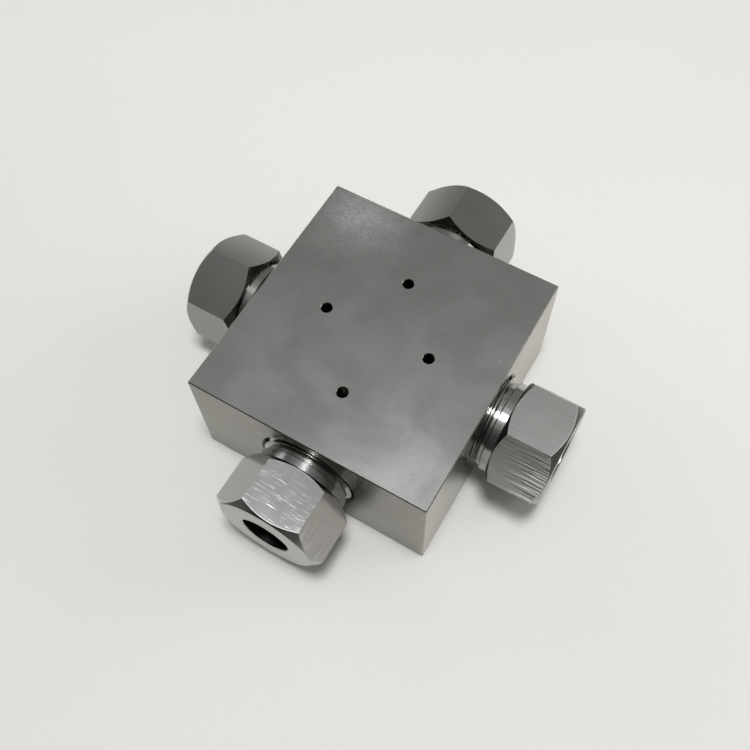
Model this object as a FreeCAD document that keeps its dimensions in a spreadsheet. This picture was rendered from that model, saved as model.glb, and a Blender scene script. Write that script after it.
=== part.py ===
import FreeCAD, Part
import math
import os
import Sketcher

# A four-way cross for cone-and-thread high-pressure tubing: a rectangular steel block with a
# port in the middle of each side, a hexagon-headed gland screwed part-way into every port, and
# a loose collar in front of each gland's nose. Millimetres. The origin is the centre of the
# block's bottom face, +Z is up, +X and +Y run out through the right and back ports.

Vector = FreeCAD.Vector

SIZES = {
    # Block
    "block_length": 75.0,        # along X
    "block_width": 79.0,         # along Y
    "wall_below": 4.7,           # least metal between the ports' rims and the bottom face
    "wall_above": 2.9,
    "edge_break": 0.25,
    # Port, from the ports' crossing outwards
    "orifice_radius": 2.4,
    "seat_half_angle": 30.0,
    "seat_from_middle": 12.0,    # where the seat cones start, at the nearest
    "tube_guide": 3.5,           # bore that the tube fits, between the seat and the shoulder
    "thread_end": 4.5,           # plain bore between the shoulder and the thread
    "mouth_play": 0.3125,        # the unthreaded mouth's radius, over the thread's
    "mouth_depth": 2.0,
    "mouth_bevel": 0.7,
    # Gland thread, 1 1/8-12 right hand
    "thread_radius": 14.2875,
    "thread_pitch": 2.116667,
    "thread_gap": 0.2,           # radial play between gland and port threads
    # Gland
    "hex_over_thread": 1.425,    # width across flats, over the thread's diameter
    "hex_length": 17.0,
    "hex_face_step": 0.45,       # from a flat to the circle left on each end of the hexagon
    "hex_chamfer_angle": 37.0,   # from the end face
    "neck_step": 0.5375,         # thread radius less neck radius
    "neck_length": 2.4,
    "relief_step": 0.05,         # the run-out groove goes this much below the thread
    "relief_width": 0.8,         # its flat bottom
    "thread_spare": 3.5,         # port thread left in front of a fully screwed-in gland
    "nose_break": 1.0,
    "nose_margin": 0.3,          # the nose countersink's rim, outside the collar's radius
    "rim_break": 0.25,
    # Tube, 9/16 inch outside diameter
    "tube_radius": 7.144,
    "tube_gap": 0.2,
    "tube_thread_pitch": 1.411111,
    # Collar, left-hand threaded on the tube
    "collar_play": 2.24,         # radial room between the collar and the port thread's crest
    "collar_tip_wall": 1.056,    # left outside the tube at the collar's bevelled end
    "collar_break": 0.4,
    "collar_entry": 0.8,
    "bevel_gap": 0.1,            # play between the collar's bevel and the gland's countersink
    "seated_gap": 1.5,           # hexagon to block when the collar meets the shoulder
    "shoulder_gap": 0.1,
    # Leak-detection holes, one over each port
    "weep_radius": 1.65,
    "weep_break": 0.15,
}

# How far each hexagon stands off the block, how far it is turned about its port, and where
# its leak-detection hole was drilled: distance out from the shoulder, and sideways shift.
STATIONS = {
    "front": {"standoff": 4.9, "clock": 50.7, "weep_back": 3.4, "weep_shift": 1.1},
    "back": {"standoff": 5.1, "clock": 22.9, "weep_back": 1.1, "weep_shift": -0.6},
    "left": {"standoff": 5.1, "clock": 32.8, "weep_back": 1.4, "weep_shift": 0.0},
    "right": {"standoff": 5.6, "clock": 59.1, "weep_back": 0.9, "weep_shift": -0.1},
}

# The way out of each port, half the block along it, and two ways to lay a sketch's vertical
# axis along it: level, by a turn in the XY plane, and upright, by a turn in XZ or YZ.
HALF_LENGTH = "Sizes.block_length/2"
HALF_WIDTH = "Sizes.block_width/2"
PORTS = {
    "front": {"out": Vector(0, -1, 0), "half": HALF_WIDTH, "level": 180, "upright": ("YZ_Plane", 90)},
    "back": {"out": Vector(0, 1, 0), "half": HALF_WIDTH, "level": 0, "upright": ("YZ_Plane", -90)},
    "left": {"out": Vector(-1, 0, 0), "half": HALF_LENGTH, "level": 90, "upright": ("XZ_Plane", 90)},
    "right": {"out": Vector(1, 0, 0), "half": HALF_LENGTH, "level": -90, "upright": ("XZ_Plane", -90)},
}

UP = Vector(0, 0, 1)
GROOVE_START = 90                # a gland's groove ends this far round from its own +X
CLEAR = "2"                      # how far turning profiles reach past what they cut
CREST_CLEAR = "0.3"              # how far thread profiles reach past the crest they cut from

# A 60 degree thread: the truncated triangle's depth and its narrow and wide flats, per pitch.
THREAD_DEPTH_RATIO = "0.541266"
NARROW_FLAT_RATIO = "0.125"
WIDE_FLAT_RATIO = "0.25"

# Radii, from the gland thread inwards and outwards.
GLAND_CREST = "(Sizes.thread_radius-Sizes.thread_gap/2)"
GLAND_ROOT = "(%s-%s*Sizes.thread_pitch)" % (GLAND_CREST, THREAD_DEPTH_RATIO)
PORT_ROOT = "(Sizes.thread_radius+Sizes.thread_gap/2)"
PORT_CREST = "(%s-%s*Sizes.thread_pitch)" % (PORT_ROOT, THREAD_DEPTH_RATIO)
MOUTH_RADIUS = "(Sizes.thread_radius+Sizes.mouth_play)"
RIM_RADIUS = "(%s+Sizes.mouth_bevel)" % MOUTH_RADIUS
NECK_RADIUS = "(Sizes.thread_radius-Sizes.neck_step)"
RELIEF_RADIUS = "(%s-Sizes.relief_step)" % GLAND_ROOT
HEX_FLATS = "(2*Sizes.thread_radius+Sizes.hex_over_thread)"
HEX_CORNER = "(%s/sqrt(3))" % HEX_FLATS
HEX_FACE_RADIUS = "(%s/2-Sizes.hex_face_step)" % HEX_FLATS
BORE = "(Sizes.tube_radius+Sizes.tube_gap)"
COLLAR_CREST = "(Sizes.tube_radius-%s*Sizes.tube_thread_pitch)" % THREAD_DEPTH_RATIO
COLLAR_RADIUS = "(%s-Sizes.collar_play)" % PORT_CREST
COLLAR_TIP_RADIUS = "(Sizes.tube_radius+Sizes.collar_tip_wall)"
NOSE_RADIUS = "(%s+Sizes.nose_margin)" % COLLAR_RADIUS

# The block's height, and the height of the port axes.
PORT_HEIGHT = "(Sizes.wall_below+%s)" % RIM_RADIUS
BLOCK_HEIGHT = "(%s+%s+Sizes.wall_above)" % (PORT_HEIGHT, RIM_RADIUS)

# Depths below a side of the block. All ports are as deep as the shorter way across allows.
SEAT_DEPTH = "(min(Sizes.block_length; Sizes.block_width)/2-Sizes.seat_from_middle)"
SHOULDER_DEPTH = "(%s-Sizes.tube_guide)" % SEAT_DEPTH
THREAD_DEPTH = "(%s-Sizes.thread_end)" % SHOULDER_DEPTH

# Lengths along a gland from its hexagon's inner face: to its nose, to the middle of the groove
# that ends its thread, whose walls slope like the thread's, and to the collar's inner end.
SHANK = "(%s-Sizes.thread_spare+Sizes.seated_gap)" % THREAD_DEPTH
RELIEF_SLOPE = "(%s-%s)*tan(30)" % (NECK_RADIUS, RELIEF_RADIUS)
RELIEF_MIDDLE = "(Sizes.neck_length+%s+Sizes.relief_width/2)" % RELIEF_SLOPE
REACH = "(Sizes.seated_gap+%s-Sizes.shoulder_gap)" % SHOULDER_DEPTH
BEVEL_HEIGHT = "(%s-%s-Sizes.bevel_gap*sqrt(2))" % (NOSE_RADIUS, COLLAR_TIP_RADIUS)
COLLAR_LENGTH = "(%s-%s+%s)" % (REACH, SHANK, BEVEL_HEIGHT)

doc = FreeCAD.newDocument("cross")
sheet = doc.addObject("Spreadsheet::Sheet", "Sizes")


def fill_sheet():
    """One row per size: its name, its value and an alias."""
    rows = dict(SIZES)
    for port, values in STATIONS.items():
        for key, value in values.items():
            rows["%s_%s" % (key, port)] = value
    for row, (name, value) in enumerate(rows.items(), start=1):
        sheet.set("A%d" % row, name)
        sheet.set("B%d" % row, str(value))
        sheet.setAlias("B%d" % row, name)
    doc.recompute()


def value_of(expression):
    return float(sheet.evalExpression(expression))


def new_body(name):
    body = doc.addObject("PartDesign::Body", name)
    body.Label = name
    return body


def new_sketch(body, name, role, turn=0):
    """A sketch on one of the body's origin planes, turned about the plane's normal."""
    sketch = body.newObject("Sketcher::SketchObject", name)
    plane = [f for f in body.Origin.OriginFeatures if f.Role == role][0]
    sketch.AttachmentSupport = [(plane, "")]
    sketch.MapMode = "FlatFace"
    sketch.AttachmentOffset = FreeCAD.Placement(Vector(), FreeCAD.Rotation(UP, turn))
    return sketch


def add_outline(sketch, corners):
    """A closed outline whose corners are pairs of expressions, each bound to the sheet."""
    points = [Vector(value_of(x), value_of(y), 0) for x, y in corners]
    first = sketch.GeometryCount
    count = len(points)
    for i in range(count):
        sketch.addGeometry(Part.LineSegment(points[i], points[(i + 1) % count]), False)
    for i in range(count):
        sketch.addConstraint(Sketcher.Constraint("Coincident", first + i, 2, first + (i + 1) % count, 1))
    for i, (x, y) in enumerate(corners):
        bind(sketch, "DistanceX", first + i, x, points[i].x)
        bind(sketch, "DistanceY", first + i, y, points[i].y)


def bind(sketch, kind, line, expression, value):
    """Hold the start of a line at a distance from the sketch's origin."""
    index = sketch.addConstraint(Sketcher.Constraint(kind, -1, 1, line, 1, value))
    sketch.setExpression("Constraints[%d]" % index, expression)


def add_circle(sketch, x, y, radius):
    circle = Part.Circle(Vector(value_of(x), value_of(y), 0), UP, value_of(radius))
    index = sketch.addGeometry(circle, False)
    for kind, expression in (("DistanceX", x), ("DistanceY", y)):
        held = sketch.addConstraint(Sketcher.Constraint(kind, -1, 1, index, 3, value_of(expression)))
        sketch.setExpression("Constraints[%d]" % held, expression)
    held = sketch.addConstraint(Sketcher.Constraint("Radius", index, value_of(radius)))
    sketch.setExpression("Constraints[%d]" % held, radius)


def turned(body, kind, name, sketch):
    """A Revolution or a Groove of a sketch about its vertical axis."""
    before = body.Shape.Volume if body.Shape and not body.Shape.isNull() else 0.0
    feature = body.newObject("PartDesign::" + kind, name)
    feature.Profile = sketch
    feature.ReferenceAxis = (sketch, ["V_Axis"])
    feature.Angle = 360
    doc.recompute()
    check_change(feature, before, kind == "Revolution")
    return feature


def check_change(feature, before, adds):
    change = feature.Shape.Volume - before
    if (change > 0) != adds or abs(change) < 1e-3:
        raise RuntimeError("%s changed the volume by %.4f" % (feature.Label, change))


def thread_groove(root, edge, centre, pitch, flat_ratio):
    """The trapezoid between two threads: its flat at the root, opening past the edge radius."""
    half_flat = "%s*%s/2" % (pitch, flat_ratio)
    half_open = "(%s+abs(%s-%s)*tan(30))" % (half_flat, edge, root)
    return [
        (root, "%s-%s" % (centre, half_flat)),
        (root, "%s+%s" % (centre, half_flat)),
        (edge, "%s+%s" % (centre, half_open)),
        (edge, "%s-%s" % (centre, half_open)),
    ]


def cut_helix(body, name, sketch, pitch, turns, left_handed=False):
    before = body.Shape.Volume
    helix = body.newObject("PartDesign::SubtractiveHelix", name)
    helix.Profile = sketch
    helix.ReferenceAxis = (sketch, ["V_Axis"])
    helix.Mode = "pitch-turns-angle"
    helix.setExpression("Pitch", pitch)
    helix.setExpression("Turns", turns)
    helix.LeftHanded = left_handed
    doc.recompute()
    check_change(helix, before, False)
    return helix


def break_edges(body, base, name, wanted, size):
    """Chamfer every edge of a feature that the test accepts."""
    names = ["Edge%d" % (i + 1) for i, edge in enumerate(base.Shape.Edges) if wanted(edge)]
    chamfer = body.newObject("PartDesign::Chamfer", name)
    chamfer.Base = (base, names)
    chamfer.setExpression("Size", size)
    doc.recompute()
    return chamfer


def port_station(port, text):
    """Put a port's name into an expression: gap_@ becomes gap_left."""
    return text.replace("@", port)


def make_block():
    body = new_body("block")
    plan = new_sketch(body, "block_plan", "XY_Plane")
    half_x = "Sizes.block_length/2"
    half_y = "Sizes.block_width/2"
    add_outline(plan, [("-" + half_x, "-" + half_y), (half_x, "-" + half_y),
                       (half_x, half_y), ("-" + half_x, half_y)])
    slab = body.newObject("PartDesign::Pad", "block_slab")
    slab.Profile = plan
    slab.setExpression("Length", BLOCK_HEIGHT)
    doc.recompute()
    break_edges(body, slab, "block_edges", lambda edge: True, "Sizes.edge_break")
    for port in PORTS:
        cut_port(body, port)
    cut_weep_holes(body)
    return body


def cut_port(body, port):
    """Countersunk mouth, threaded bore, tube bore, seat cone and the orifice to the middle."""
    half = PORTS[port]["half"]
    bore = new_sketch(body, "port_%s_profile" % port, "XY_Plane", PORTS[port]["level"])
    bore.setExpression("AttachmentOffset.Base.z", PORT_HEIGHT)
    mouth_slope = "(%s-%s)" % (MOUTH_RADIUS, PORT_CREST)
    seat_slope = "(%s-Sizes.orifice_radius)/tan(Sizes.seat_half_angle)" % BORE
    face = half + "-%s"
    add_outline(bore, [
        ("0", "-Sizes.orifice_radius"),
        ("Sizes.orifice_radius", "-Sizes.orifice_radius"),
        ("Sizes.orifice_radius", face % SEAT_DEPTH + "-" + seat_slope),
        (BORE, face % SEAT_DEPTH),
        (BORE, face % SHOULDER_DEPTH),
        (PORT_CREST, face % SHOULDER_DEPTH),
        (PORT_CREST, face % "Sizes.mouth_depth" + "-" + mouth_slope),
        (MOUTH_RADIUS, face % "Sizes.mouth_depth"),
        (MOUTH_RADIUS, face % "Sizes.mouth_bevel"),
        (RIM_RADIUS, half),
        (RIM_RADIUS, half + "+" + CLEAR),
        ("0", half + "+" + CLEAR),
    ])
    turned(body, "Groove", "port_%s_bore" % port, bore)
    # The port's thread is in step with its gland's: its groove lies half a pitch from the
    # gland's, brought round from where the gland's starts to this sketch's side of the axis.
    plane, turn = PORTS[port]["upright"]
    groove = new_sketch(body, "port_%s_groove" % port, plane, turn)
    groove.setExpression("AttachmentOffset.Base.y", PORT_HEIGHT)
    pitch = "Sizes.thread_pitch"
    swing = "%s*(%d-Sizes.clock_@-%d)/360" % (pitch, turn, GROOVE_START)
    phase = "(Sizes.standoff_@-%s+%s/2+%s)" % (RELIEF_MIDDLE, pitch, swing)
    step = "mod(%s+%s+9*%s; %s)" % (phase, THREAD_DEPTH, pitch, pitch)
    start = port_station(port, "(%s-%s+%s)" % (half, THREAD_DEPTH, step))
    inner = "(%s-%s)" % (PORT_CREST, CREST_CLEAR)
    add_outline(groove, thread_groove(PORT_ROOT, inner, start, pitch, NARROW_FLAT_RATIO))
    turns = "ceil(%s/%s)" % (THREAD_DEPTH, pitch)
    cut_helix(body, "port_%s_thread" % port, groove, pitch, turns)


def cut_weep_holes(body):
    """Straight down from the top face to the height of the port axes."""
    before = body.Shape.Volume
    holes = new_sketch(body, "weep_plan", "XY_Plane")
    holes.setExpression("AttachmentOffset.Base.z", BLOCK_HEIGHT)
    for port, facts in PORTS.items():
        reach = port_station(port, "(%s-%s+Sizes.weep_back_@)" % (facts["half"], SHOULDER_DEPTH))
        shift = port_station(port, "Sizes.weep_shift_@")
        along_x = "%d*%s" % (facts["out"].x, reach) if facts["out"].x else shift
        along_y = "%d*%s" % (facts["out"].y, reach) if facts["out"].y else shift
        add_circle(holes, along_x, along_y, "Sizes.weep_radius")
    pocket = body.newObject("PartDesign::Pocket", "weep_holes")
    pocket.Profile = holes
    pocket.setExpression("Length", "%s-%s" % (BLOCK_HEIGHT, PORT_HEIGHT))
    doc.recompute()
    check_change(pocket, before, False)
    top = value_of(BLOCK_HEIGHT)
    radius = value_of("Sizes.weep_radius")

    def is_rim(edge):
        curve = edge.Curve
        if not isinstance(curve, Part.Circle):
            return False
        return abs(curve.Radius - radius) < 1e-6 and abs(curve.Center.z - top) < 1e-6

    break_edges(body, pocket, "weep_rims", is_rim, "Sizes.weep_break")


def make_gland(name):
    """Its own axis is +Z, out of the port, and z = 0 is the hexagon's inner face."""
    body = new_body(name)
    hexagon = new_sketch(body, name + "_hexagon", "XY_Plane")
    corners = []
    for i in range(6):
        corners.append(("%s*cos(%d)" % (HEX_CORNER, 60 * i), "%s*sin(%d)" % (HEX_CORNER, 60 * i)))
    add_outline(hexagon, corners)
    head = body.newObject("PartDesign::Pad", name + "_head")
    head.Profile = hexagon
    head.setExpression("Length", "Sizes.hex_length")
    doc.recompute()
    chamfer_hexagon(body, name)
    shank = new_sketch(body, name + "_shank_profile", "XZ_Plane")
    relief_end = "(-%s-Sizes.relief_width/2)" % RELIEF_MIDDLE
    crest_slope = "(%s-%s)*tan(30)" % (GLAND_CREST, RELIEF_RADIUS)
    add_outline(shank, [
        ("0", "1"),
        (NECK_RADIUS, "1"),
        (NECK_RADIUS, "-Sizes.neck_length"),
        (RELIEF_RADIUS, "-%s+Sizes.relief_width/2" % RELIEF_MIDDLE),
        (RELIEF_RADIUS, relief_end),
        (GLAND_CREST, relief_end + "-" + crest_slope),
        (GLAND_CREST, "-%s+Sizes.nose_break" % SHANK),
        (GLAND_CREST + "-Sizes.nose_break", "-" + SHANK),
        ("0", "-" + SHANK),
    ])
    turned(body, "Revolution", name + "_shank", shank)
    cut_gland_thread(body, name)
    bore = new_sketch(body, name + "_bore_profile", "XZ_Plane")
    add_outline(bore, [
        ("0", "-%s-%s" % (SHANK, CLEAR)),
        ("%s+%s" % (NOSE_RADIUS, CLEAR), "-%s-%s" % (SHANK, CLEAR)),
        (BORE, "-%s+(%s-%s)" % (SHANK, NOSE_RADIUS, BORE)),
        (BORE, "Sizes.hex_length-Sizes.rim_break"),
        (BORE + "+Sizes.rim_break+" + CLEAR, "Sizes.hex_length+" + CLEAR),
        ("0", "Sizes.hex_length+" + CLEAR),
    ])
    turned(body, "Groove", name + "_bore", bore)
    return body


def chamfer_hexagon(body, name):
    """Cut both ends to a cone, which leaves the curved edges of a turned hexagon."""
    cut = new_sketch(body, name + "_chamfer_profile", "XZ_Plane")
    outer = "(%s+%s)" % (HEX_CORNER, CLEAR)
    drop = "(%s-%s)*tan(Sizes.hex_chamfer_angle)" % (outer, HEX_FACE_RADIUS)
    add_outline(cut, [(HEX_FACE_RADIUS, "Sizes.hex_length"), (outer, "Sizes.hex_length"),
                      (outer, "Sizes.hex_length-" + drop)])
    add_outline(cut, [(HEX_FACE_RADIUS, "0"), (outer, "0"), (outer, drop)])
    turned(body, "Groove", name + "_chamfer", cut)


def cut_gland_thread(body, name):
    """Whole turns of groove from beyond the nose, ending inside the relief by the neck."""
    outer = "(%s+%s)" % (GLAND_CREST, CREST_CLEAR)
    pitch = "Sizes.thread_pitch"
    turns = "ceil((%s-%s)/%s+1)" % (SHANK, RELIEF_MIDDLE, pitch)
    start = "(-%s-%s*%s)" % (RELIEF_MIDDLE, turns, pitch)
    groove = new_sketch(body, name + "_groove", "YZ_Plane")
    add_outline(groove, thread_groove(GLAND_ROOT, outer, start, pitch, WIDE_FLAT_RATIO))
    cut_helix(body, name + "_thread", groove, pitch, turns)


def make_collar(name):
    """Its own axis is +Z, out of the port, and z = 0 is its inner end."""
    body = new_body(name)
    section = new_sketch(body, name + "_section", "XZ_Plane")
    add_outline(section, [
        (COLLAR_CREST + "+Sizes.collar_entry", "0"),
        (COLLAR_RADIUS + "-Sizes.collar_break", "0"),
        (COLLAR_RADIUS, "Sizes.collar_break"),
        (COLLAR_RADIUS, "%s-(%s-%s)" % (COLLAR_LENGTH, COLLAR_RADIUS, COLLAR_TIP_RADIUS)),
        (COLLAR_TIP_RADIUS, COLLAR_LENGTH),
        (COLLAR_CREST + "+Sizes.collar_entry", COLLAR_LENGTH),
        (COLLAR_CREST, COLLAR_LENGTH + "-Sizes.collar_entry"),
        (COLLAR_CREST, "Sizes.collar_entry"),
    ])
    turned(body, "Revolution", name + "_sleeve", section)
    groove = new_sketch(body, name + "_groove", "YZ_Plane")
    pitch = "Sizes.tube_thread_pitch"
    inner = "(%s-%s)" % (COLLAR_CREST, CREST_CLEAR)
    start = "(-%s)" % pitch
    add_outline(groove, thread_groove("Sizes.tube_radius", inner, start, pitch, NARROW_FLAT_RATIO))
    turns = "ceil(%s/%s+2)" % (COLLAR_LENGTH, pitch)
    cut_helix(body, name + "_thread", groove, pitch, turns, left_handed=True)
    return body


def place(body, port, distance, clock):
    """Stand a turned piece on its port's axis, a distance out from the block's side."""
    out = PORTS[port]["out"]
    side = UP.cross(out)
    spin = FreeCAD.Rotation(UP, clock)
    facing = FreeCAD.Rotation(side, UP, out, "ZXY")
    body.Placement = FreeCAD.Placement(Vector(), facing.multiply(spin))
    reach = "(%s+%s)" % (PORTS[port]["half"], distance)
    body.setExpression("Placement.Base.x", "%d*%s" % (out.x, reach))
    body.setExpression("Placement.Base.y", "%d*%s" % (out.y, reach))
    body.setExpression("Placement.Base.z", PORT_HEIGHT)


def check_and_write(bodies):
    doc.recompute()
    for item in doc.Objects:
        if {"Invalid", "Error"} & set(item.State):
            raise RuntimeError("%s is %s" % (item.Label, item.State))
    for body in bodies:
        shape = body.Shape
        if shape.isNull() or not shape.isValid() or len(shape.Solids) != 1:
            raise RuntimeError("%s has a bad shape" % body.Label)
    os.makedirs("parts", exist_ok=True)
    for body in bodies:
        body.Shape.exportStep("parts/%s.step" % body.Label)
        print("%-14s %10.1f mm3" % (body.Label, body.Shape.Volume))


fill_sheet()
bodies = [make_block()]
for port_name in PORTS:
    gland = make_gland("gland_" + port_name)
    place(gland, port_name, "Sizes.standoff_" + port_name, value_of("Sizes.clock_" + port_name))
    collar = make_collar("collar_" + port_name)
    place(collar, port_name, "Sizes.standoff_%s-%s" % (port_name, REACH), 0)
    bodies += [gland, collar]
check_and_write(bodies)
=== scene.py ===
import math

import bpy
from mathutils import Matrix, Vector


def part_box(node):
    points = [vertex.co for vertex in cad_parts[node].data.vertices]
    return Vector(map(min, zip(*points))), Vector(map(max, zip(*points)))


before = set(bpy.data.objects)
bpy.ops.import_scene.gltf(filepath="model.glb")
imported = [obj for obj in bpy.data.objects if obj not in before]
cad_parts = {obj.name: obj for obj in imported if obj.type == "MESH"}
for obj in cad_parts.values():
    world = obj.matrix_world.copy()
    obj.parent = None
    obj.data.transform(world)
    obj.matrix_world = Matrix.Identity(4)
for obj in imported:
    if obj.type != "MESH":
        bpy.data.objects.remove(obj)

scene = bpy.context.scene
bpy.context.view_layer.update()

# Sizes are in metres, as in the frame.
(LEFT, FRONT, _), (RIGHT, BACK, TOP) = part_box("block")
HEX_LENGTH = 0.017
FACE_RADIUS = 0.01455  # where the chamfer meets the hexagon's end face
CHAMFER_SLOPE = math.tan(math.radians(37))
PORTS = {"front": (1, -1), "back": (1, 1), "left": (0, -1), "right": (0, 1)}  # axis, way out

# For each gland, from 0 to 1: coarse milling, handling wear, and painted shade on the lower flats;
# milling and wear also set the painted highlights on the flats.
FINISH_AND_PAINTED_LIGHT = {
    "front": (0.1, 1.0, 0.24),
    "back": (0.0, 0.1, 0.25),
    "left": (0.0, 0.15, 0.4),
    "right": (1.0, 0.1, 0.42),
}

# Steel tones, linear RGBA.
BLOCK_TOP = (0.425, 0.42, 0.414, 1)
# The block's side tones are painted shade: darker and warmer than the top, the front side darkest.
BLOCK_SIDE_PAINTED_SHADE = (0.345, 0.338, 0.296, 1)
BLOCK_FRONT_PAINTED_SHADE = (0.195, 0.188, 0.16, 1)
BLOCK_BRIGHT = (0.86, 0.86, 0.85, 1)
GLAND_BRIGHT = (0.88, 0.88, 0.88, 1)
# Painted shade for the gland chamfers.
GLAND_PAINTED_SHADE = (0.08, 0.08, 0.075, 1)
COLLAR_DARK = (0.52, 0.50, 0.46, 1)
COLLAR_BRIGHT = (0.80, 0.78, 0.74, 1)
FLOOR_DARK = (0.80, 0.79, 0.76, 1)
FLOOR_PALE = (0.93, 0.915, 0.88, 1)
FLOOR_FAR_PAINTED_SHADE = (0.24, 0.24, 0.235, 1)


# ---------------------------------------------------------------- node helpers

class Graph:
    """Short calls for building one material or world node tree."""

    def __init__(self, tree):
        self.tree = tree
        tree.nodes.clear()

    def node(self, kind, **settings):
        made = self.tree.nodes.new(kind)
        for key, value in settings.items():
            setattr(made, key, value)
        return made

    def put(self, socket, value):
        if isinstance(value, bpy.types.NodeSocket):
            self.tree.links.new(value, socket)
        elif value is not None:
            socket.default_value = value

    def math(self, operation, a, b=None, c=None, clamp=False):
        made = self.node("ShaderNodeMath", operation=operation, use_clamp=clamp)
        for socket, value in zip(made.inputs, (a, b, c)):
            self.put(socket, value)
        return made.outputs[0]

    def ramp(self, value, low, high, to_low=0.0, to_high=1.0):
        """A smooth step from to_low at low to to_high at high."""
        made = self.node("ShaderNodeMapRange", interpolation_type="SMOOTHSTEP")
        for socket, number in zip(made.inputs, (value, low, high, to_low, to_high)):
            self.put(socket, number)
        return made.outputs[0]

    def mapped(self, vector, scale, turn=(0, 0, 0), shift=(0, 0, 0)):
        made = self.node("ShaderNodeMapping")
        self.put(made.inputs["Vector"], vector)
        made.inputs["Location"].default_value = shift
        made.inputs["Rotation"].default_value = turn
        made.inputs["Scale"].default_value = scale
        return made.outputs[0]

    def noise(self, vector, scale=1.0, detail=2.0, roughness=0.5, distortion=0.0):
        made = self.node("ShaderNodeTexNoise")
        self.put(made.inputs["Vector"], vector)
        made.inputs["Scale"].default_value = scale
        made.inputs["Detail"].default_value = detail
        made.inputs["Roughness"].default_value = roughness
        made.inputs["Distortion"].default_value = distortion
        return made.outputs[0]

    def mix(self, factor, a, b):
        made = self.node("ShaderNodeMix", data_type="FLOAT")
        self.put(made.inputs[0], factor)
        self.put(made.inputs[2], a)
        self.put(made.inputs[3], b)
        return made.outputs[0]

    def colour(self, factor, a, b):
        made = self.node("ShaderNodeMix", data_type="RGBA")
        self.put(made.inputs[0], factor)
        self.put(made.inputs[6], a)
        self.put(made.inputs[7], b)
        return made.outputs[2]

    def parts(self, vector):
        made = self.node("ShaderNodeSeparateXYZ")
        self.put(made.inputs[0], vector)
        return made.outputs

    def bump(self, height, distance, normal=None):
        made = self.node("ShaderNodeBump")
        made.inputs["Strength"].default_value = 1.0
        made.inputs["Distance"].default_value = distance
        self.put(made.inputs["Height"], height)
        self.put(made.inputs["Normal"], normal)
        return made.outputs[0]


def steel(name):
    """A new metal: its graph, its shader, and its position and normal in the row frame."""
    material = bpy.data.materials.new(name)
    material.use_nodes = True
    g = Graph(material.node_tree)
    shader = g.node("ShaderNodeBsdfPrincipled")
    shader.inputs["Metallic"].default_value = 1.0
    out = g.node("ShaderNodeOutputMaterial")
    g.put(out.inputs["Surface"], shader.outputs[0])
    place = g.node("ShaderNodeTexCoord").outputs["Object"]
    normal = g.node("ShaderNodeNewGeometry").outputs["True Normal"]
    return material, g, shader, place, normal


def scratches(g, place, scale, turn, low=0.66, high=0.72):
    """Thin broken lines, long along the turned X axis and a hair wide across it."""
    lines = g.noise(g.mapped(place, scale, turn), 1.0, 1.0)
    return g.ramp(lines, low, high)


def spot(g, place, centre, reach):
    """1 at a point, falling to 0 at a distance from it."""
    made = g.node("ShaderNodeVectorMath", operation="DISTANCE")
    g.put(made.inputs[0], place)
    made.inputs[1].default_value = centre
    return g.ramp(made.outputs["Value"], 0.0, reach, 1.0, 0.0)


# ---------------------------------------------------------------- materials

def block_steel():
    material, g, shader, place, normal = steel("block_ground_steel")
    top = g.ramp(g.parts(normal)[2], 0.9, 0.98)
    # Grinding lines run along X on the big faces and level on the sides.
    flat_lines = g.noise(g.mapped(place, (45, 5200, 45)), 1.0, 3.0, 0.6)
    side_lines = g.noise(g.mapped(place, (60, 60, 4200)), 1.0, 3.0, 0.6)
    lines = g.mix(top, side_lines, flat_lines)
    cloud = g.ramp(g.noise(place, 60.0, 3.0, 0.55, 0.4), 0.3, 0.7)
    grain = g.noise(place, 900.0, 2.0, 0.6)
    # Rubbed places: a strong one by the back left corner, a weak one by the front right corner.
    rub_back = spot(g, place, (LEFT + 0.0125, BACK - 0.006, TOP), 0.024)
    rub_front = spot(g, place, (RIGHT - 0.013, FRONT + 0.0065, TOP), 0.028)
    rub_front = g.math("MULTIPLY", rub_front, 0.22)
    smear = g.noise(g.mapped(place, (700, 2600, 700), (0, 0, 0.9)), 1.0, 4.0, 0.8, 0.3)
    rubbed = g.math("MULTIPLY", g.math("MAXIMUM", rub_back, rub_front), g.ramp(smear, 0.15, 0.75))
    rubbed = g.math("MULTIPLY", rubbed, top)
    hair_a = scratches(g, place, (60, 4600, 60), (0, 0, 0.9), 0.74, 0.80)
    hair_b = scratches(g, place, (80, 5200, 80), (0, 0, -0.6), 0.74, 0.80)
    hair = g.math("MULTIPLY", g.math("MAXIMUM", hair_a, hair_b), top)
    specks = g.ramp(g.noise(place, 620.0, 0.0), 0.85, 0.88)
    shade = g.math("ADD", g.math("MULTIPLY", lines, 0.045), g.math("MULTIPLY", cloud, 0.07))
    tone = g.math("ADD", shade, g.math("MULTIPLY", grain, 0.02))
    tone = g.math("ADD", tone, g.math("MULTIPLY", rubbed, 0.50))
    tone = g.math("ADD", tone, g.math("MULTIPLY", hair, 0.012))
    tone = g.math("ADD", tone, g.math("MULTIPLY", specks, 0.25))
    # Painted shade: the sides are darker and warmer than the top, and the front side is darker than
    # the others.
    painted_shade_base = g.colour(top, BLOCK_SIDE_PAINTED_SHADE, BLOCK_TOP)
    painted_shade_base = g.colour(g.ramp(g.parts(normal)[1], -0.9, -0.6), BLOCK_FRONT_PAINTED_SHADE, painted_shade_base)
    g.put(shader.inputs["Base Color"], g.colour(tone, painted_shade_base, BLOCK_BRIGHT))
    rough = g.math("ADD", 0.22, g.math("MULTIPLY", cloud, 0.05))
    rough = g.math("ADD", rough, g.math("MULTIPLY", rubbed, 0.20))
    g.put(shader.inputs["Roughness"], g.math("ADD", rough, g.math("MULTIPLY", hair, 0.05)))
    relief = g.bump(lines, 0.0000016)
    relief = g.bump(hair, 0.0000005, relief)
    g.put(shader.inputs["Normal"], relief)
    return material


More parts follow.
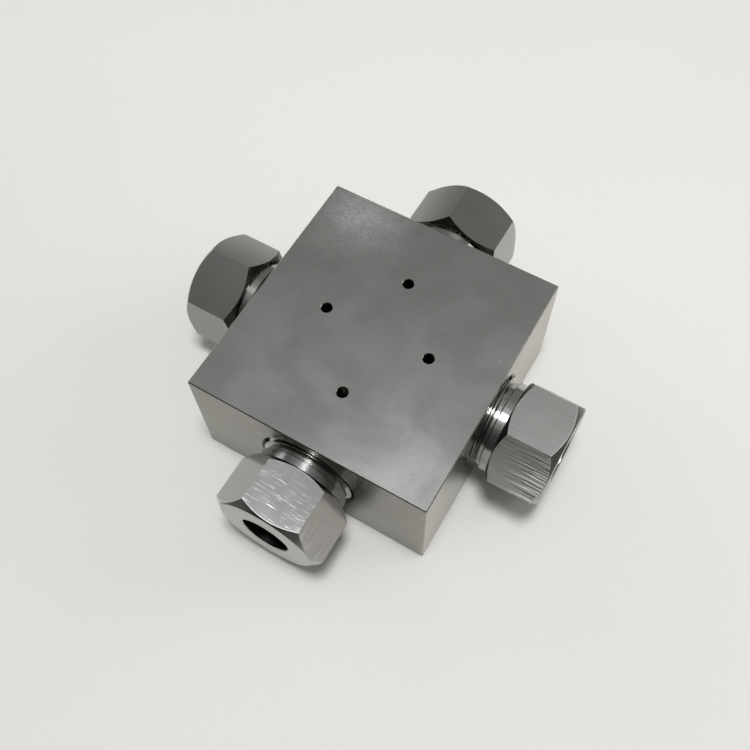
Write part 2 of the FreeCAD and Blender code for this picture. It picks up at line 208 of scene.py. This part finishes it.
def gland_steel(port, milling_and_glint, wear_and_glint, painted_low_shade):
    """One gland's steel. The three values after the port are its row of the table above."""
    axis, way = PORTS[port]
    material, g, shader, place, normal = steel("gland_steel_" + port)
    low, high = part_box("gland_" + port)
    outer_end = (low, high)[way > 0][axis]
    inner_end = outer_end - way * HEX_LENGTH
    along = g.parts(place)[axis]
    depth = g.math("MULTIPLY", g.math("SUBTRACT", along, inner_end), float(way))
    head = g.ramp(depth, -0.00005, 0.00005)  # 1 on the hexagon, 0 on the shank
    # The flats are milled along the axis and finely scratched; the rest is turned.
    fine = [2200.0, 2200.0, 2200.0]
    fine[axis] = 60.0
    coarse = [1300.0, 1300.0, 1300.0]
    coarse[axis] = 70.0
    mill = g.noise(g.mapped(place, fine), 1.0, 1.0, 0.5)
    gouge = g.noise(g.mapped(place, coarse), 1.0, 2.0, 0.5)
    rings = g.node("ShaderNodeTexNoise", noise_dimensions="1D")
    g.put(rings.inputs["W"], g.math("MULTIPLY", depth, 7000.0))
    rings = rings.outputs[0]
    cloud = g.noise(place, 70.0, 2.0, 0.5, 0.5)
    hair_a = scratches(g, place, (140, 4600, 140), (0, 0, 0.5), 0.66, 0.74)
    hair_b = scratches(g, place, (180, 5200, 180), (0, 0, -0.9), 0.68, 0.75)
    hair_c = scratches(g, place, (160, 4900, 160), (0, 0, 1.7), 0.68, 0.75)
    hair = g.math("MAXIMUM", hair_a, g.math("MAXIMUM", hair_b, hair_c))
    hair = g.math("MULTIPLY", hair, head)
    tone = g.math("ADD", g.math("MULTIPLY", cloud, 0.10), g.math("MULTIPLY", hair, 0.02 + 0.18 * wear_and_glint))
    tone = g.math("ADD", tone, g.math("MULTIPLY", mill, 0.04 + 0.16 * milling_and_glint))
    up = g.parts(normal)[2]
    upward = g.ramp(up, 0.3, 0.8)
    outward = g.math("MULTIPLY", g.parts(normal)[axis], float(way))
    flat = g.math("MULTIPLY", g.ramp(g.math("ABSOLUTE", outward), 0.1, 0.3, 1.0, 0.0), head)
    # Coarse milling marks grow towards the outer end of the lower flats; bright painted highlights run
    # along them.
    ends = g.ramp(depth, 0.003, HEX_LENGTH, 0.10, 1.0)
    lower = g.math("MULTIPLY", ends, g.ramp(up, 0.55, 0.75, 1.0, 0.0))
    lower = g.math("MULTIPLY", lower, flat)
    marks = g.math("MULTIPLY", gouge, lower)
    painted_streak_glint = g.math("MULTIPLY", g.ramp(gouge, 0.50, 0.60), g.math("MULTIPLY", lower, lower))
    tone = g.math("ADD", tone, g.math("MULTIPLY", painted_streak_glint, 1.6 * milling_and_glint))
    # Painted highlight: a bright line on a flat's outer edge, along the chamfer's arc, on the upper
    # flats.
    across = g.node("ShaderNodeVectorMath", operation="LENGTH")
    crosswise = [1.0, 1.0, 1.0]
    crosswise[axis] = 0.0
    middle = (low[2] + high[2]) / 2
    g.put(across.inputs[0], g.mapped(place, crosswise, shift=(0, 0, -middle)))
    arc = g.math("MULTIPLY", g.math("SUBTRACT", across.outputs["Value"], FACE_RADIUS), CHAMFER_SLOPE)
    gap = g.math("SUBTRACT", HEX_LENGTH, g.math("ADD", depth, arc))
    painted_edge_glint = g.math("MULTIPLY", g.ramp(gap, 0.0, 0.0004, 1.0, 0.0), flat)
    painted_edge_glint = g.math("MULTIPLY", painted_edge_glint, g.math("MULTIPLY", upward, max(wear_and_glint, milling_and_glint)))
    tone = g.math("ADD", tone, g.math("MULTIPLY", painted_edge_glint, 0.9))
    # Painted shade: the lower flats take a darker, warmer colour than the upper ones.
    painted_low_colour = [0.40 * c * (1.0 - painted_low_shade) for c in (1.0, 0.98, 0.91)] + [1]
    top_tone = 0.45 + 0.06 * milling_and_glint - 0.12 * wear_and_glint
    painted_shade_base = g.colour(upward, painted_low_colour, [top_tone * c for c in (1.0, 0.99, 0.97)] + [1])
    # Painted shade: the chamfers, but not the end face, are darkened where they face the block or up.
    inner = g.ramp(outward, -0.5, -0.3, 1.0, 0.0)
    outer = g.math("MULTIPLY", g.ramp(outward, 0.35, 0.5), g.ramp(outward, 0.92, 0.97, 1.0, 0.0))
    outer = g.math("MULTIPLY", outer, g.ramp(up, 0.2, 0.45))
    chamfer_painted_shade = g.math("MULTIPLY", g.math("MAXIMUM", inner, outer), head)
    painted_shade_base = g.colour(chamfer_painted_shade, painted_shade_base, GLAND_PAINTED_SHADE)
    tone = g.math("MULTIPLY", tone, g.math("SUBTRACT", 1.0, chamfer_painted_shade))
    g.put(shader.inputs["Base Color"], g.colour(tone, painted_shade_base, GLAND_BRIGHT))
    head_rough = g.math("ADD", 0.10 + 0.14 * milling_and_glint, g.math("MULTIPLY", cloud, 0.06))
    head_rough = g.math("ADD", head_rough, g.math("MULTIPLY", hair, 0.02 + 0.10 * wear_and_glint))
    shank_rough = g.math("ADD", 0.15, g.math("MULTIPLY", rings, 0.06))
    # Turning marks stretch a highlight along the axis.
    g.put(shader.inputs["Anisotropic"], g.mix(head, 0.8, 0.0))
    lengthwise = g.node("ShaderNodeCombineXYZ")
    lengthwise.inputs[axis].default_value = 1.0
    g.put(shader.inputs["Tangent"], lengthwise.outputs[0])
    g.put(shader.inputs["Roughness"], g.mix(head, shank_rough, head_rough))
    relief = g.bump(g.math("MULTIPLY", mill, flat), 0.0000012 + 0.000006 * milling_and_glint)
    relief = g.bump(marks, 0.00022 * milling_and_glint, relief)
    relief = g.bump(g.math("MULTIPLY", rings, g.math("SUBTRACT", 1.0, head)), 0.000003, relief)
    relief = g.bump(hair, 0.0000002, relief)
    g.put(shader.inputs["Normal"], relief)
    return material


def collar_steel():
    material, g, shader, place, _ = steel("collar_turned_steel")
    cloud = g.noise(place, 120.0, 2.0)
    grain = g.noise(place, 2500.0, 2.0, 0.6)
    tone = g.math("ADD", g.math("MULTIPLY", cloud, 0.20), g.math("MULTIPLY", grain, 0.06))
    g.put(shader.inputs["Base Color"], g.colour(tone, COLLAR_DARK, COLLAR_BRIGHT))
    g.put(shader.inputs["Roughness"], g.math("ADD", 0.2, g.math("MULTIPLY", grain, 0.1)))
    g.put(shader.inputs["Normal"], g.bump(grain, 0.000003))
    return material


def dress(node, material):
    """Give a CAD node one material all over."""
    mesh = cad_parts[node].data
    if not mesh.materials:
        mesh.materials.append(material)
    for i in range(len(mesh.materials)):
        mesh.materials[i] = material


dress("block", block_steel())
turned = collar_steel()
for port, finish_and_painted_light in FINISH_AND_PAINTED_LIGHT.items():
    dress("gland_" + port, gland_steel(port, *finish_and_painted_light))
    dress("collar_" + port, turned)


# ---------------------------------------------------------------- floor

def make_floor():
    bpy.ops.mesh.primitive_plane_add(size=6.0, location=(0, 0, 0))
    floor = bpy.context.object
    floor.name = "floor"
    material = bpy.data.materials.new("pale_floor")
    material.use_nodes = True
    g = Graph(material.node_tree)
    shader = g.node("ShaderNodeBsdfPrincipled")
    out = g.node("ShaderNodeOutputMaterial")
    g.put(out.inputs["Surface"], shader.outputs[0])
    place = g.node("ShaderNodeTexCoord").outputs["Object"]
    cloud = g.noise(place, 9.0, 3.0, 0.5)
    grain = g.noise(place, 700.0, 2.0, 0.5)
    # Painted shade: the floor is darker towards the front and lighter towards the back.
    back = g.ramp(g.parts(place)[1], -0.12, 0.12)
    tone = g.math("ADD", g.math("MULTIPLY", cloud, 0.3), g.math("MULTIPLY", grain, 0.25))
    tone = g.math("MULTIPLY_ADD", back, 0.6, tone)
    pale = g.colour(tone, FLOOR_DARK, FLOOR_PALE)
    # Painted shade: the floor is darker further out, so the steel reflects less of it.
    away = g.node("ShaderNodeVectorMath", operation="LENGTH")
    g.put(away.inputs[0], g.mapped(place, (1, 1, 1), shift=(0.12, -0.16, 0)))
    far_painted_shade = g.ramp(away.outputs["Value"], 0.335, 0.62)
    g.put(shader.inputs["Base Color"], g.colour(far_painted_shade, pale, FLOOR_FAR_PAINTED_SHADE))
    shader.inputs["Roughness"].default_value = 0.6
    shader.inputs["Specular IOR Level"].default_value = 0.25
    floor.data.materials.append(material)


make_floor()


# ---------------------------------------------------------------- light

def make_world():
    """A dim room, dimmest towards -Y, whose ceiling glows around the point overhead."""
    world = bpy.data.worlds.new("soft_room")
    world.use_nodes = True
    g = Graph(world.node_tree)
    back = g.node("ShaderNodeBackground")
    out = g.node("ShaderNodeOutputWorld")
    g.put(out.inputs["Surface"], back.outputs[0])
    way = g.node("ShaderNodeTexCoord").outputs["Generated"]
    up = g.parts(way)[2]
    # The ramps take heights, so these are sines of the elevations.
    haze_low, haze_high, glow_low, glow_high = (math.sin(math.radians(a)) for a in (48, 60, 66, 71))
    haze = g.ramp(up, haze_low, haze_high, 0.0, 0.13)
    glow = g.ramp(up, glow_low, glow_high)
    away = g.ramp(g.parts(way)[1], -0.9, -0.3, 0.25, 1.0)
    low = g.math("MULTIPLY", 0.21, away)
    g.put(back.inputs["Color"], g.colour(glow, (1.0, 1.0, 0.965, 1), (0.99, 0.98, 1.0, 1)))
    g.put(back.inputs["Strength"], g.math("ADD", low, g.math("MULTIPLY_ADD", glow, 0.30, haze)))
    scene.world = world


def soft_light(name, azimuth, elevation, distance, size, radiance, tint):
    """A round lamp aimed at the middle of the floor. Azimuth is from -Y towards +X."""
    lamp = bpy.data.lights.new(name, "AREA")
    lamp.shape = "DISK"
    lamp.size = size
    lamp.color = tint
    lamp.energy = radiance * size * size * math.pi ** 2 / 4
    holder = bpy.data.objects.new(name, lamp)
    scene.collection.objects.link(holder)
    a, e = math.radians(azimuth), math.radians(elevation)
    way = Vector((math.sin(a) * math.cos(e), -math.cos(a) * math.cos(e), math.sin(e)))
    holder.location = way * distance
    holder.rotation_euler = way.to_track_quat("Z", "Y").to_euler()


# Each lamp: azimuth and elevation in degrees, distance and size in metres, radiance, tint.
LAMPS = {
    "overhead": (48, 84, 1.3, 0.32, 36.0, (1, 1, 1)),
    "right_window": (130, 24, 2.0, 1.24, 1.9, (1.0, 0.99, 0.96)),
    "left_window": (-95, 24, 2.0, 1.24, 1.1, (0.98, 0.99, 1.0)),
}

make_world()
for name, lamp in LAMPS.items():
    soft_light(name, *lamp)


# ---------------------------------------------------------------- camera

def make_camera():
    lens = bpy.data.cameras.new("camera")
    lens.sensor_width = 36.0
    lens.lens = 43.58
    lens.clip_start = 0.01
    holder = bpy.data.objects.new("camera", lens)
    scene.collection.objects.link(holder)
    eye = Vector((0.06857, -0.10997, 0.25853))
    aim = Vector((0.00089, -0.00370, 0.01973))
    roll = math.radians(-2.324)
    level = (aim - eye).to_track_quat("-Z", "Y").to_matrix().to_4x4()
    holder.matrix_world = Matrix.Translation(eye) @ level @ Matrix.Rotation(roll, 4, "Z")
    scene.camera = holder


make_camera()
scene.view_settings.view_transform = "Standard"

bpy.context.view_layer.update()
